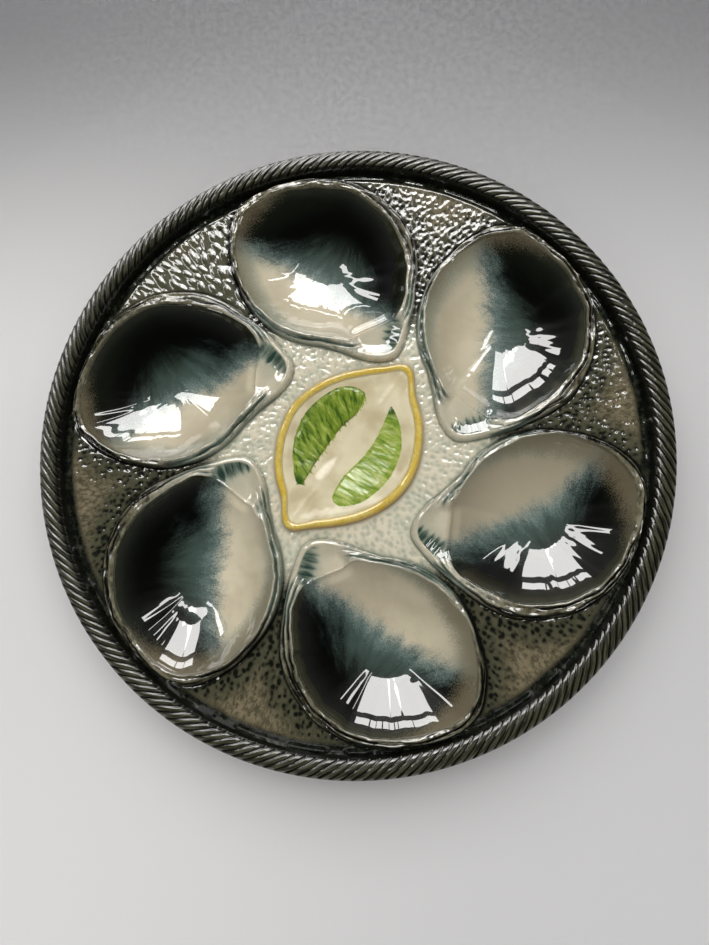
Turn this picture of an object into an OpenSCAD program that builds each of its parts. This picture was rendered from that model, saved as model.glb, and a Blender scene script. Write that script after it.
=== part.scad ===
// Oyster plate: rope rim, stippled ground, six shell wells in a pinwheel,
// a lemon dish in the middle and a foot ring below.
// Axis of the plate is z, the foot stands on z = 0, first shell toward +y.

/* [Plate] */
// Diameter over the rope
plate_d = 250; // [220:1:280]
// Height from the table to the crest of the rope
plate_h = 27; // [26:0.5:30]
// Width of the rope band
rope_w = 8; // [6:0.5:9]
// Depth of the rope band from crest to underside
rope_t = 9.5; // [8:0.5:11]
// Width of the sunk channel inside the rope
channel_w = 2.6; // [2:0.2:4]
// Depth of the channel below the ground
channel_drop = 2.2; // [1:0.2:3]
// Top of the ground at its outer edge
ground_z = 21.8; // [21:0.2:22.4]
// Fall of the ground from edge to middle
ground_fall = 2.2; // [0:0.2:3]
// Level of the underside of the ground
under_z = 14.5; // [12:0.5:15]

/* [Rope] */
// Strands seen round the rim
strands = 188; // [120:4:200]
// Depth of the groove between two strands
strand_groove = 0.9; // [0.2:0.1:1.2]
// Strands that one strand passes across the band
strand_lay = 2.2; // [0:0.2:3]

/* [Shell wells] */
// Number of shells in the pinwheel
wells = 6; // [6:1:6]
// Well centre from the axis, as a share of the ground radius
well_out_share = 0.693; // [0.686:0.001:0.696]
// Turn of a well centre about the axis, degrees
well_turn = 9.5; // [9:0.1:10]
// Mean reach of a well, as a share of the ground radius
well_reach_share = 0.2885; // [0.282:0.0005:0.2925]
// Level of the shell lip
lip_z = 24.4; // [24:0.1:25]
// Depth of a well below its lip
well_depth = 17.0; // [14:0.2:17.4]
// Thickness of the shell below the well floor
floor_t = 4.4; // [3:0.2:4.6]
// Height of the wavy shell edge over and under its lip
frill = 0.9; // [0.2:0.1:1.2]
// Depth of the crease between the two leaves of the edge
crease = 1.5; // [0.5:0.1:2]
// Height of the hinge ribs
hinge_rib = 0.9; // [0.2:0.1:1.2]
// Growth step inside a well
growth_step = 0.5; // [0:0.1:1]

/* [Lemon] */
// Reach of the lemon across its waist
lemon_reach = 28.7; // [26.5:0.1:28.9]
// Extra reach of the shoulders
lemon_shoulder = 5.3; // [3:0.1:5.8]
// Extra reach of the two tips
lemon_tip = 6.8; // [3:0.1:7]
// Direction of the upper tip, degrees
lemon_turn = 53; // [50:1:55]
// Width of the rind
rind_w = 3.6; // [2.6:0.1:4]
// Crest of the rind
rind_z = 23.4; // [22:0.1:24]
// Rim of the dish inside the rind
dish_z = 20.6; // [20:0.1:21]
// Depth of the dish
dish_depth = 4.6; // [3:0.1:5]
// Underside of the lemon dish
lemon_under = 9.5; // [8:0.5:11]
// Rise of a flesh lobe over the dish
flesh_rise = 1.4; // [0.8:0.1:2.4]

/* [Foot] */
// Middle radius of the foot ring
foot_r = 70; // [66:1:74]
// Width of the ring where it stands
foot_w = 3.4; // [2:0.2:5]
// Width of the ring at the ground
foot_root = 6.5; // [5:0.5:9]

/* [Hidden] */
// Segments round a shell and round the lemon
around = 48;
lemon_around = 60;
// Columns to one strand
strand_columns = 2;
// Overrun of a cut through the face it opens
over = 1;
// Number of facets on turned work
smooth = 180;
full = 360;
rope_r = plate_d / 2;
band_r = rope_r - rope_w;
ground_r = band_r - channel_w;
// A lemon too large for its room pushes the wells out and makes them smaller
lemon_room_share = 0.2975;
give_share = 0.5;
squeeze = max(0, lemon_reach + lemon_shoulder - ground_r * lemon_room_share);
well_out = ground_r * well_out_share + squeeze * give_share;
well_reach = ground_r * well_reach_share - squeeze * give_share;
skirt_z = under_z - over / 2;
bulge_z = lip_z - well_depth - floor_t;
pitch = full / wells;
lemon_pos = [-1, 1];

// Reach of the well lip against direction, from the well centre
lip_shares = [
    [0, 1.055], [9, 1.035], [22, 1.005], [34, 0.99], [45, 0.985], [56, 0.97], [66, 0.975],
    [85, 0.96], [103, 0.98], [120, 1.03], [130, 1.075], [138, 1.12], [148, 1.13],
    [158, 1.11], [167, 1.07], [177, 1.035], [187, 1.005], [198, 0.99], [208, 0.965],
    [220, 0.95], [232, 0.945], [245, 0.95], [257, 0.965], [268, 0.975], [279, 1.01],
    [286, 1.10], [291.5, 1.195], [296.5, 1.19], [303, 1.205], [310.5, 1.245], [316.5, 1.29],
    [321, 1.30], [327, 1.255], [333, 1.20], [341, 1.14], [350, 1.09], [360, 1.055]
];

// Reach of the outer shell edge against direction, from the well centre
edge_shares = [
    [0, 1.23], [8.5, 1.225], [19.5, 1.19], [33, 1.16], [48, 1.135], [64, 1.11], [82, 1.10],
    [101, 1.10], [120, 1.15], [134.5, 1.24], [147.5, 1.275], [160, 1.215], [174, 1.145],
    [190, 1.075], [207, 1.055], [223, 1.04], [238.5, 1.05], [253.5, 1.06], [271.5, 1.08],
    [283.5, 1.19], [291, 1.33], [297.5, 1.45], [302.5, 1.53], [308, 1.57], [317.5, 1.45],
    [324, 1.39], [330.5, 1.33], [343, 1.25], [356, 1.235], [360, 1.23]
];

// Rings over the shell edge: share of the way from lip to outer edge
crest_outer_share = 0.72;
crease_share = 0.45;
crest_inner_share = 0.18;

// Rings of the well and of the bulge below, as shares of lip and edge reach
well_ring_shares = [0.93, 0.82, 0.66, 0.46, 0.24];
bulge_ring_shares = [0.2, 0.48, 0.74, 0.91];
well_power = 2.3;
well_round = 0.87;
bulge_power = 2.4;

// Outlines of the two flesh lobes, shares of the lemon reach
left_lobe_shares = [
    [0.19, 0.79], [0.07, 0.85], [-0.13, 0.84], [-0.36, 0.72], [-0.58, 0.52], [-0.72, 0.26],
    [-0.78, -0.03], [-0.77, -0.24], [-0.74, -0.46], [-0.65, -0.52], [-0.48, -0.24],
    [-0.27, 0.08], [-0.07, 0.33], [0.13, 0.50], [0.22, 0.71]
];
right_lobe_shares = [
    [0.60, 0.56], [0.56, 0.50], [0.50, 0.37], [0.41, 0.18], [0.30, 0.01], [0.14, -0.18],
    [-0.02, -0.34], [-0.13, -0.48], [-0.23, -0.71], [-0.16, -0.81], [-0.03, -0.83],
    [0.18, -0.78], [0.40, -0.62], [0.56, -0.45], [0.67, -0.24], [0.73, -0.03],
    [0.73, 0.18], [0.69, 0.38]
];
// Rings of a lobe top: shares of the outline and of the rise
lobe_ring_shares = [[0.86, 0.8], [0.5, 1]];

ground_colour = [0.46, 0.42, 0.32];
rope_colour = [0.16, 0.17, 0.12];
shell_colour = [0.42, 0.47, 0.42];
pith_colour = [0.86, 0.82, 0.72];
rind_colour = [0.86, 0.74, 0.30];
flesh_colour = [0.45, 0.58, 0.18];
foot_colour = [0.80, 0.76, 0.66];

// Two triangles between neighbouring rings, faces clockwise from outside
function band(low, high, i, j) = [[low + i, high + i, high + j], [low + i, high + j, low + j]];

// Solid built from rings of n points, closed by a point below and one above
module loft(rings, bottom, top, n) {
    count = len(rings);
    points = concat([bottom], [for (ring = rings) for (p = ring) p], [top]);
    last = len(points) - 1;
    faces = concat(
        [for (i = [0:n - 1]) [0, 1 + i, 1 + (i + 1) % n]],
        [for (k = [0:count - 2], i = [0:n - 1])
            each band(1 + k * n, 1 + (k + 1) * n, i, (i + 1) % n)],
        [for (i = [0:n - 1]) [last, 1 + (count - 1) * n + (i + 1) % n, 1 + (count - 1) * n + i]]
    );
    polyhedron(points = points, faces = faces, convexity = 8);
}

// Ring-shaped solid: the rings follow one another round its section
module hoop(rings, n) {
    count = len(rings);
    points = [for (ring = rings) for (p = ring) p];
    faces = [for (k = [0:count - 1], i = [0:n - 1])
        each band(k * n, ((k + 1) % count) * n, i, (i + 1) % n)];
    polyhedron(points = points, faces = faces, convexity = 8);
}

// Rope: profile points as shares of band width and depth, with groove weight
rope_profile_shares = [
    [0.9, 0.86, 0], [1, 0.42, 0], [0.88, 0.12, 1], [0.52, 0, 1], [0.16, 0.26, 1],
    [0, 0.64, 0], [0, 1, 0]
];
rope_n = strands * strand_columns;
function rope_angle(i, across) = (i / strand_columns + strand_lay * (1 - across)) * full / strands;
function rope_ring(p) = [for (i = [0:rope_n - 1])
    let (cut = (i % strand_columns) * strand_groove * p[2])
    let (r = band_r + rope_w * p[0])
    let (a = rope_angle(i, p[0]))
    [r * cos(a), r * sin(a), plate_h - rope_t * p[1] - cut]];

module rope_rim() {
    color(rope_colour)
        hoop([for (p = rope_profile_shares) rope_ring(p)], rope_n);
}

// Direction of segment i, and the two outlines there
function direction(i) = i * full / around;
function lip_r(i) = well_reach * lookup(direction(i), lip_shares);
function edge_r(i) = well_reach * lookup(direction(i), edge_shares);
function spot(i, r, z) = [r * cos(direction(i)), r * sin(direction(i)), z];

// Waves of the leafed edge, and the weight of the hinge fan
wave_counts = [5, 9, 13];
wave_shares = [0.45, 0.35, 0.2];
function wave(i, lag) = wave_shares[0] * sin(wave_counts[0] * direction(i) + lag)
    + wave_shares[1] * sin(wave_counts[1] * direction(i) + lag * wave_counts[0])
    + wave_shares[2] * sin(wave_counts[2] * direction(i) - lag);
hinge_from = 288;
hinge_to = 326;
function in_hinge(i) = direction(i) > hinge_from && direction(i) < hinge_to ? 1 : 0;
function rib(i) = in_hinge(i) * (i % 2 == 0 ? hinge_rib : -hinge_rib);

wave_lag = 70;
function rim_ring(share, z, lag, amount) = [for (i = [0:around - 1])
    spot(i, lip_r(i) + (edge_r(i) - lip_r(i)) * share,
        z + frill * amount * wave(i, lag) - in_hinge(i) * frill + rib(i) * amount)];

// Depth of the well at a share of its lip reach, with one growth step
step_share = 0.56;
function well_z(t) = lip_z - well_depth * pow(1 - pow(t, well_power), well_round)
    + (t < step_share ? -growth_step : 0) + growth_step * (1 - t);
function well_ring(t) = [for (i = [0:around - 1]) spot(i, lip_r(i) * t, well_z(t))];
function bulge_at(u) = bulge_z + (skirt_z - bulge_z) * pow(u, bulge_power);
function bulge_ring(u) = [for (i = [0:around - 1]) spot(i, edge_r(i) * u, bulge_at(u))];
function edge_ring(z) = [for (i = [0:around - 1]) spot(i, edge_r(i), z)];

edge_z = ground_z + frill / 2;
function shell_below() = concat([for (u = bulge_ring_shares) bulge_ring(u)], [edge_ring(skirt_z)]);
function shell_rim() = [
    edge_ring(edge_z),
    rim_ring(crest_outer_share, lip_z, 0, 1),
    rim_ring(crease_share, lip_z - crease, wave_lag, 1 / 2),
    rim_ring(crest_inner_share, lip_z, 2 * wave_lag, 1 / 2),
    rim_ring(0, lip_z - frill, 0, 1 / 4)
];

// Places child at the well of number k, the first one toward +y
module at_well(k) {
    rotate(pitch * k)
        translate([-well_out * sin(well_turn), well_out * cos(well_turn), 0])
            children();
}

module shell_well(k) {
    color(shell_colour)
        at_well(k)
            loft(concat(shell_below(), shell_rim(), [for (t = well_ring_shares) well_ring(t)]),
                [0, 0, bulge_z], [0, 0, well_z(0)], around);
}
module shell_well_1() { shell_well(0); }
module shell_well_2() { shell_well(1); }
module shell_well_3() { shell_well(2); }
module shell_well_4() { shell_well(3); }
module shell_well_5() { shell_well(4); }
module shell_well_6() { shell_well(5); }

// Plan of a shell, as cut through the ground
module shell_plan() {
    polygon([for (i = [0:around - 1]) [spot(i, edge_r(i), 0)[0], spot(i, edge_r(i), 0)[1]]]);
}

// Shell without its hollow, as cut from the foot ring
module shell_lump() {
    loft(concat(shell_below(), [edge_ring(edge_z)]), [0, 0, bulge_z], [0, 0, edge_z], around);
}

// Lemon outline: waist, shoulders and two tips
shoulder_power = 4;
tip_power = 60;
function lemon_c(i) = abs(cos(i * full / lemon_around - lemon_turn));
function lemon_r(i) = lemon_reach + lemon_shoulder * pow(lemon_c(i), shoulder_power)
    + lemon_tip * pow(lemon_c(i), tip_power);
function lemon_spot(i, inset, z) = let (a = i * full / lemon_around)
    [lemon_pos[0] + (lemon_r(i) - inset) * cos(a), lemon_pos[1] + (lemon_r(i) - inset) * sin(a), z];
function lemon_ring(inset, z) = [for (i = [0:lemon_around - 1]) lemon_spot(i, inset, z)];
module lemon_plan(inset) {
    polygon([for (p = lemon_ring(inset, 0)) [p[0], p[1]]]);
}

// Rind: rounded bead, [share of its width from outside, share of its rise]
rind_profile_shares = [[0, 0], [0, 0.45], [0.2, 0.85], [0.5, 1], [0.8, 0.8], [1, 0.3], [1, 0]];
module lemon_rind() {
    color(rind_colour)
        hoop([for (p = rind_profile_shares)
            lemon_ring(rind_w * p[0], under_z + (rind_z - under_z) * p[1])], lemon_around);
}

// Dish: pith body with a turned hollow and two pockets for the flesh
bowl_r = lemon_reach - rind_w - over / 2;
bowl_floor_share = 0.34;
bowl_mid_share = 0.74;
bowl_mid_depth_share = 0.62;
flesh_z = dish_z - dish_depth - over;
module lemon_dish() {
    color(pith_colour)
        difference() {
            union() {
                translate([0, 0, under_z])
                    linear_extrude(dish_z - under_z) lemon_plan(rind_w);
                translate([0, 0, lemon_under])
                    linear_extrude(under_z - lemon_under) lemon_plan(rind_w);
            }
            translate([lemon_pos[0], lemon_pos[1], 0])
                rotate_extrude($fn = smooth)
                    polygon([
                        [0, dish_z - dish_depth],
                        [bowl_r * bowl_floor_share, dish_z - dish_depth],
                        [bowl_r * bowl_mid_share, dish_z - dish_depth * bowl_mid_depth_share],
                        [bowl_r, dish_z],
                        [bowl_r, dish_z + over],
                        [0, dish_z + over]
                    ]);
            flesh_pocket(left_lobe_shares);
            flesh_pocket(right_lobe_shares);
        }
}
module flesh_pocket(shares) {
    translate([lemon_pos[0], lemon_pos[1], flesh_z])
        linear_extrude(dish_z + over - flesh_z) polygon([for (p = shares) p * lemon_reach]);
}

// Flesh: a pad in its pocket with a domed top, level with the dish along its edge
function middle(shares) = [for (k = [0:1]) sumof([for (p = shares) p[k]]) / len(shares)];
function sumof(list, i = 0) = i < len(list) ? list[i] + sumof(list, i + 1) : 0;
function dish_at(p) = let (t = norm(p) * lemon_reach / bowl_r)
    dish_z - dish_depth * (t < bowl_floor_share ? 1
        : lookup(t, [[bowl_floor_share, 1], [bowl_mid_share, bowl_mid_depth_share], [1, 0]]));
function flesh_ring(shares, size, rise) = let (m = middle(shares)) [for (p = shares)
    let (q = m + (p - m) * size)
    [q[0] * lemon_reach, q[1] * lemon_reach, (dish_at(q) + flesh_rise * rise)]];
function flat_ring(shares, z) = [for (p = shares) [p[0] * lemon_reach, p[1] * lemon_reach, z]];
module flesh(shares) {
    m = middle(shares);
    n = len(shares);
    color(flesh_colour)
        translate([lemon_pos[0], lemon_pos[1], 0])
            loft(concat([flat_ring(shares, flesh_z), flesh_ring(shares, 1, 0)],
                [for (s = lobe_ring_shares) flesh_ring(shares, s[0], s[1])]),
                [m[0] * lemon_reach, m[1] * lemon_reach, flesh_z],
                [m[0] * lemon_reach, m[1] * lemon_reach, dish_at(m) + flesh_rise], n);
}
module lemon_flesh_left() { flesh(left_lobe_shares); }
module lemon_flesh_right() { flesh(right_lobe_shares); }

// Ground: turned body with the shells and the lemon cut through it
rope_inner_z = plate_h - rope_t;
channel_half_share = 0.5;
module ground_body() {
    rotate_extrude($fn = smooth)
        polygon([
            [0, under_z],
            [well_out, under_z],
            [band_r, rope_inner_z],
            [band_r, ground_z - channel_drop],
            [band_r - channel_w * channel_half_share, ground_z - channel_drop],
            [ground_r, ground_z - channel_drop / 2],
            [ground_r - channel_w * channel_half_share, ground_z],
            [well_out, ground_z - ground_fall / 2],
            [0, ground_z - ground_fall]
        ]);
}
module stippled_ground() {
    color(ground_colour)
        difference() {
            ground_body();
            translate([0, 0, skirt_z - over])
                linear_extrude(plate_h - skirt_z) union() {
                    for (k = [0:wells - 1]) at_well(k) shell_plan();
                    lemon_plan(0);
                }
        }
}

// Foot ring: turned band up to the ground, notched by the bellies of the shells
foot_round = 1;
module foot_band() {
    rotate_extrude($fn = smooth)
        polygon([
            [foot_r - foot_w / 2, 0],
            [foot_r + foot_w / 2, 0],
            [foot_r + foot_w / 2 + foot_round / 2, foot_round],
            [foot_r + foot_root / 2, under_z],
            [foot_r - foot_root / 2, under_z],
            [foot_r - foot_w / 2 - foot_round / 2, foot_round]
        ]);
}
module foot_ring() {
    color(foot_colour)
        difference() {
            foot_band();
            for (k = [0:wells - 1]) at_well(k) shell_lump();
        }
}

rope_rim();
stippled_ground();
shell_well_1();
shell_well_2();
shell_well_3();
shell_well_4();
shell_well_5();
shell_well_6();
lemon_dish();
lemon_rind();
lemon_flesh_left();
lemon_flesh_right();
foot_ring();
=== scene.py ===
# Oyster plate in glazed earthenware: rope rim, stippled ground, six shell wells, a lemon dish, a foot ring
import bpy
import math
import numpy as np
from mathutils import Matrix


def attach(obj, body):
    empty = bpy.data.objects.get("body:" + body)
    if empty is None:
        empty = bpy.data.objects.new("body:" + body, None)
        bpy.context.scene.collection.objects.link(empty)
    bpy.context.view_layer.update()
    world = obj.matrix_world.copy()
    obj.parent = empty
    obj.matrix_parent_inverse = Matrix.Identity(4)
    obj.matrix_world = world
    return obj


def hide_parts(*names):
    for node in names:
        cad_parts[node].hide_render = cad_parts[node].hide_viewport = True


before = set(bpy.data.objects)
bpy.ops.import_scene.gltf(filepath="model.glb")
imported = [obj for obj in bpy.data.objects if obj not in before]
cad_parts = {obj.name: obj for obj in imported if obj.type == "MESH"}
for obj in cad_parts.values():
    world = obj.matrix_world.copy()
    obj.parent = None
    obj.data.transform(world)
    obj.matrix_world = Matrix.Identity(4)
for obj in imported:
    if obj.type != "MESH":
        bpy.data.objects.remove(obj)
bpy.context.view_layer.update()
print("frame loaded, nodes:", len(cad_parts))

mm = 0.001
root = "root"

# Sizes in millimetres, the same as in the solids
plateSize = {"rimRadius": 125.0, "top": 27.0, "bandInner": 117.0, "under": 14.5, "shells": 6}
wellSize = {"out": 79.28, "turn": 9.5, "reach": 33.0, "lip": 24.4, "depth": 17.0, "floor": 4.4,
            "power": 2.3, "round": 0.87, "skirt": 14.0, "bellyPower": 2.4}
shellStep = 360 // plateSize["shells"]  # degrees from one shell to the next
bellyLow = wellSize["lip"] - wellSize["depth"] - wellSize["floor"]

# Reach of the well lip and of the outer shell edge against direction, shares of the well reach
lipShares = [
    (0, 1.055), (9, 1.035), (22, 1.005), (34, 0.99), (45, 0.985), (56, 0.97), (66, 0.975), (85, 0.96),
    (103, 0.98), (120, 1.03), (130, 1.075), (138, 1.12), (148, 1.13), (158, 1.11), (167, 1.07),
    (177, 1.035), (187, 1.005), (198, 0.99), (208, 0.965), (220, 0.95), (232, 0.945), (245, 0.95),
    (257, 0.965), (268, 0.975), (279, 1.01), (286, 1.10), (291.5, 1.195), (296.5, 1.19), (303, 1.205),
    (310.5, 1.245), (316.5, 1.29), (321, 1.30), (327, 1.255), (333, 1.20), (341, 1.14), (350, 1.09),
    (360, 1.055)]
edgeShares = [
    (0, 1.23), (8.5, 1.225), (19.5, 1.19), (33, 1.16), (48, 1.135), (64, 1.11), (82, 1.10), (101, 1.10),
    (120, 1.15), (134.5, 1.24), (147.5, 1.275), (160, 1.215), (174, 1.145), (190, 1.075), (207, 1.055),
    (223, 1.04), (238.5, 1.05), (253.5, 1.06), (271.5, 1.08), (283.5, 1.19), (291, 1.33), (297.5, 1.45),
    (302.5, 1.53), (308, 1.57), (317.5, 1.45), (324, 1.39), (330.5, 1.33), (343, 1.25), (356, 1.235),
    (360, 1.23)]


# Small helpers for shapes
def smoothStep(x):
    x = np.clip(x, 0, 1)
    return x * x * (3 - 2 * x)


def hill(distance, width):
    return np.exp(-(distance / width) ** 2)


def softNoise(x, y, seed):
    # smooth random field with one bump per unit
    xi, yi = np.floor(x).astype(np.int64), np.floor(y).astype(np.int64)
    sx, sy = smoothStep(x - xi), smoothStep(y - yi)

    def corner(i, j):
        h = (i * 374761393 + j * 668265263 + seed * 974634777) & 0x7FFFFFFF
        h = ((h ^ (h >> 13)) * 1274126177) & 0x7FFFFFFF
        return ((h ^ (h >> 16)) % 10007) / 10007 * 2 - 1

    low = corner(xi, yi) * (1 - sx) + corner(xi + 1, yi) * sx
    high = corner(xi, yi + 1) * (1 - sx) + corner(xi + 1, yi + 1) * sx
    return low * (1 - sy) + high * sy


def roundNoise(degrees, count, seed):
    # random wave that closes on itself round a full turn
    angle = np.radians(degrees)
    size = count / (2 * math.pi)
    return softNoise(np.cos(angle) * size + 31.7, np.sin(angle) * size + 17.3, seed)


def tableReader(shares, blur):
    table = np.array(shares)
    fine = np.arange(0, 360, 0.5)
    value = np.interp(fine, table[:, 0], table[:, 1])
    reach = 24
    kernel = np.exp(-0.5 * (np.arange(-reach, reach + 1) * 0.5 / blur) ** 2)
    padded = np.concatenate([value[-reach:], value, value[:reach]])
    smooth = np.convolve(padded, kernel / kernel.sum(), mode="valid")
    return lambda degrees: wellSize["reach"] * np.interp(np.asarray(degrees) % 360, np.append(fine, 360),
                                                         np.append(smooth, smooth[0]))


lipReach = tableReader(lipShares, 1.8)
edgeReach = tableReader(edgeShares, 2.4)
wellX = -wellSize["out"] * math.sin(math.radians(wellSize["turn"]))
wellY = wellSize["out"] * math.cos(math.radians(wellSize["turn"]))


def turned(x, y, degrees):
    c, s = math.cos(math.radians(degrees)), math.sin(math.radians(degrees))
    return x * c - y * s, x * s + y * c


def alongSegment(x, y, a, b):
    # share of the way from a to b, 0 before it and 1 beyond it
    dx, dy = b[0] - a[0], b[1] - a[1]
    return np.clip(((x - a[0]) * dx + (y - a[1]) * dy) / (dx * dx + dy * dy), 0, 1)


def segmentDistance(x, y, a, b):
    t = alongSegment(x, y, a, b)
    return np.hypot(x - a[0] - t * (b[0] - a[0]), y - a[1] - t * (b[1] - a[1]))


def ringQuads(rings, around, closeRings=False):
    k = np.arange(rings if closeRings else rings - 1)[:, None]
    i = np.arange(around)[None, :]
    j, n = (i + 1) % around, (k + 1) % rings
    return np.stack([k * around + i, k * around + j, n * around + j, n * around + i], -1).reshape(-1, 4)


def closedRings(rings, around):
    # stacked rings, closed by one point under the first ring and one over the last
    low, last = rings * around, (rings - 1) * around
    faces = [tuple(q) for q in ringQuads(rings, around)]
    faces += [(i, low, (i + 1) % around) for i in range(around)]
    return faces + [(last + (i + 1) % around, low + 1, last + i) for i in range(around)]


def gather(rows, around):
    # one long array for each value that the rings carry
    return [np.concatenate([np.broadcast_to(value, (around,)).astype(float) for value in column])
            for column in zip(*rows)]


def bellyHeight(share):
    # underside of a well, from its lowest point out to its edge
    return bellyLow + (wellSize["skirt"] - bellyLow) * share ** wellSize["bellyPower"]


def makePiece(name, points, faces, values, material, node, bodyName=root):
    mesh = bpy.data.meshes.new(name)
    mesh.from_pydata((np.asarray(points) * mm).tolist(), [], [list(f) for f in faces])
    mesh.validate()
    mesh.shade_smooth()
    for key, data in values.items():
        data = np.asarray(data, np.float32)
        kind = "FLOAT_VECTOR" if data.ndim == 2 else "FLOAT"
        layer = mesh.attributes.new(key, kind, "POINT")
        layer.data.foreach_set("vector" if data.ndim == 2 else "value", data.ravel())
    mesh.materials.append(material)
    piece = bpy.data.objects.new(name, mesh)
    bpy.context.collection.objects.link(piece)
    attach(piece, bodyName)
    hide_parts(node)
    return piece


# Small helpers for materials
def colourOf(red, green, blue):
    def linear(v):
        v = v / 255
        return v / 12.92 if v <= 0.04045 else ((v + 0.055) / 1.055) ** 2.4
    return (linear(red), linear(green), linear(blue), 1.0)


def colours(paint):
    return {key: colourOf(*value) for key, value in paint.items()}


class Wiring:
    # builds nodes in one tree with few words
    def __init__(self, tree):
        self.tree = tree

    def node(self, kind, inputs=None, **settings):
        made = self.tree.nodes.new(kind)
        for key, value in settings.items():
            setattr(made, key, value)
        for key, value in (inputs or {}).items():
            self.put(made.inputs[key], value)
        return made

    def put(self, socket, value):
        if isinstance(value, bpy.types.NodeSocket):
            self.tree.links.new(value, socket)
        else:
            socket.default_value = value

    def math(self, operation, first, second=0.0, third=None, clamp=False):
        made = self.node("ShaderNodeMath", operation=operation, use_clamp=clamp)
        self.put(made.inputs[0], first)
        self.put(made.inputs[1], second)
        if third is not None:
            self.put(made.inputs[2], third)
        return made.outputs[0]

    def times(self, first, second, clamp=False):
        return self.math("MULTIPLY", first, second, clamp=clamp)

    def plus(self, first, second):
        return self.math("ADD", first, second)

    def minus(self, first, second):
        return self.math("SUBTRACT", first, second)

    def mix(self, factor, first, second, blend="MIX"):
        made = self.node("ShaderNodeMix", data_type="RGBA", blend_type=blend)
        self.put(made.inputs[0], factor)
        self.put(made.inputs[6], first)
        self.put(made.inputs[7], second)
        return made.outputs[2]

    def ramp(self, value, low, high, bottom=0.0, top=1.0):
        made = self.node("ShaderNodeMapRange", interpolation_type="SMOOTHSTEP")
        for key, item in enumerate((value, low, high, bottom, top)):
            self.put(made.inputs[key], item)
        return made.outputs[0]

    def noise(self, vector, scale, detail=3.0, roughness=0.55, distortion=0.0):
        made = self.node("ShaderNodeTexNoise", {"Scale": scale, "Detail": detail, "Roughness": roughness,
                                                "Distortion": distortion})
        self.put(made.inputs["Vector"], vector)
        return made.outputs[0]

    def value(self, name):
        return self.node("ShaderNodeAttribute", attribute_name=name).outputs["Fac"]

    def vector(self, name):
        return self.node("ShaderNodeAttribute", attribute_name=name).outputs["Vector"]

    def place(self):
        return self.node("ShaderNodeTexCoord").outputs["Object"]


def makeGroup(name, inputs, outputs):
    group = bpy.data.node_groups.new(name, "ShaderNodeTree")
    kinds = {"value": "NodeSocketFloat", "colour": "NodeSocketColor", "vector": "NodeSocketVector"}
    for label, kind, default in inputs:
        socket = group.interface.new_socket(label, in_out="INPUT", socket_type=kinds[kind])
        if default is not None:
            socket.default_value = default
    for label, kind in outputs:
        group.interface.new_socket(label, in_out="OUTPUT", socket_type=kinds[kind])
    wires = Wiring(group)
    return group, wires, wires.node("NodeGroupInput").outputs, wires.node("NodeGroupOutput").inputs


# Airbrushed edge: a field in millimetres is feathered, combed by brush streaks and dusted at its border
airbrush, w, source, target = makeGroup(
    "airbrush", [("Field", "value", 0.0), ("Brush", "vector", None), ("Place", "vector", None),
                 ("Feather", "value", 4.0), ("Streak", "value", 3.0), ("Grit", "value", 0.5)],
    [("Mask", "value")])
broad = w.noise(source["Brush"], 1.0, 3.0, 0.55)
fine = w.noise(source["Brush"], 5.0, 3.0, 0.6)
dust = w.noise(source["Place"], 2200.0, 1.0, 0.5)
push = w.plus(w.minus(broad, 0.5), w.times(w.minus(fine, 0.5), 0.5))
moved = w.plus(source["Field"], w.times(push, w.times(source["Streak"], 2.0)))
spread = w.times(w.minus(dust, 0.5), w.times(source["Grit"], source["Feather"]))
moved = w.plus(moved, spread)
reach = w.times(source["Feather"], 0.5)
w.put(target["Mask"], w.ramp(moved, w.times(reach, -1.0), reach))

# Glaze that pools dark in creases, with a pale crest colour: thin glaze and painted highlight on the shells,
# painted highlight on the rope
pooledGlaze, w, source, target = makeGroup(
    "pooledGlaze", [("Colour", "colour", None), ("Pool", "colour", None), ("Thin", "colour", None),
                    ("Depth", "value", 0.0), ("Crest", "value", 0.0), ("Strength", "value", 1.0)],
    [("Colour", "colour")])
crested = w.mix(w.times(source["Crest"], source["Strength"], clamp=True), source["Colour"], source["Thin"])
pooled = w.times(source["Depth"], source["Strength"], clamp=True)
w.put(target["Colour"], w.mix(pooled, crested, source["Pool"]))

# Fine fibrous speckle of a sprayed glaze
sprayed, w, source, target = makeGroup(
    "sprayed", [("Vector", "vector", None), ("Scale", "value", 900.0), ("Amount", "value", 0.3),
                ("Colour", "colour", None), ("Speck", "colour", None)], [("Colour", "colour")])
grain = w.noise(source["Vector"], source["Scale"], 3.0, 0.7)
cloud = w.noise(source["Vector"], w.times(source["Scale"], 0.12), 2.0, 0.5)
dots = w.ramp(w.plus(w.times(grain, 0.7), w.times(cloud, 0.3)), 0.47, 0.60)
w.put(target["Colour"], w.mix(w.times(dots, source["Amount"]), source["Colour"], source["Speck"]))

# Faint waviness of a clear glaze
glazeSkin, w, source, target = makeGroup(
    "glazeSkin", [("Vector", "vector", None), ("Scale", "value", 220.0)],
    [("Height", "value"), ("Roughness", "value")])
waves = w.noise(source["Vector"], source["Scale"], 2.0, 0.4)
pores = w.noise(source["Vector"], w.times(source["Scale"], 6.0), 2.0, 0.5)
w.put(target["Height"], w.plus(waves, w.times(pores, 0.12)))
w.put(target["Roughness"], w.plus(0.28, w.times(pores, 0.10)))


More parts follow.
